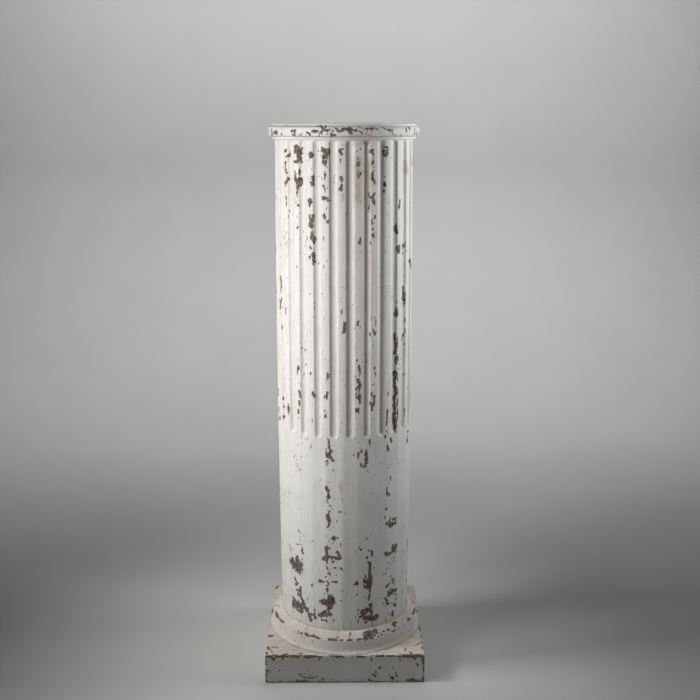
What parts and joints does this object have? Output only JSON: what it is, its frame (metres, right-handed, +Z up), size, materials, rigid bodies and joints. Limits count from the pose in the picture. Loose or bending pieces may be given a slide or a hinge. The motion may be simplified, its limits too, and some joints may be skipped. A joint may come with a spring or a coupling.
{
  "type": "pedestal column",
  "caption": "Free-standing round pedestal column on a square plinth, with a half-fluted shaft of flat staves and a round bullnose cap, in worn white paint.",
  "frame": {"origin": "middle of the plinth's underside", "axes": "+Z up the column, -Y the front that the picture shows, +X to the right of the front"},
  "size_m": [0.305, 0.305, 1.05],
  "materials": {
    "plinth_paint": "dusty worn white paint over dark brown",
    "ring_paint": "dusty worn white paint over dark brown",
    "shaft_paint": "worn white paint over dark brown",
    "cap_paint": "worn white paint over dark brown"
  },
  "bodies": {
    "root": {"plinth": "plinth_paint", "base_ring": "ring_paint", "shaft": "shaft_paint", "cap": "cap_paint"}
  },
  "joints": []
}
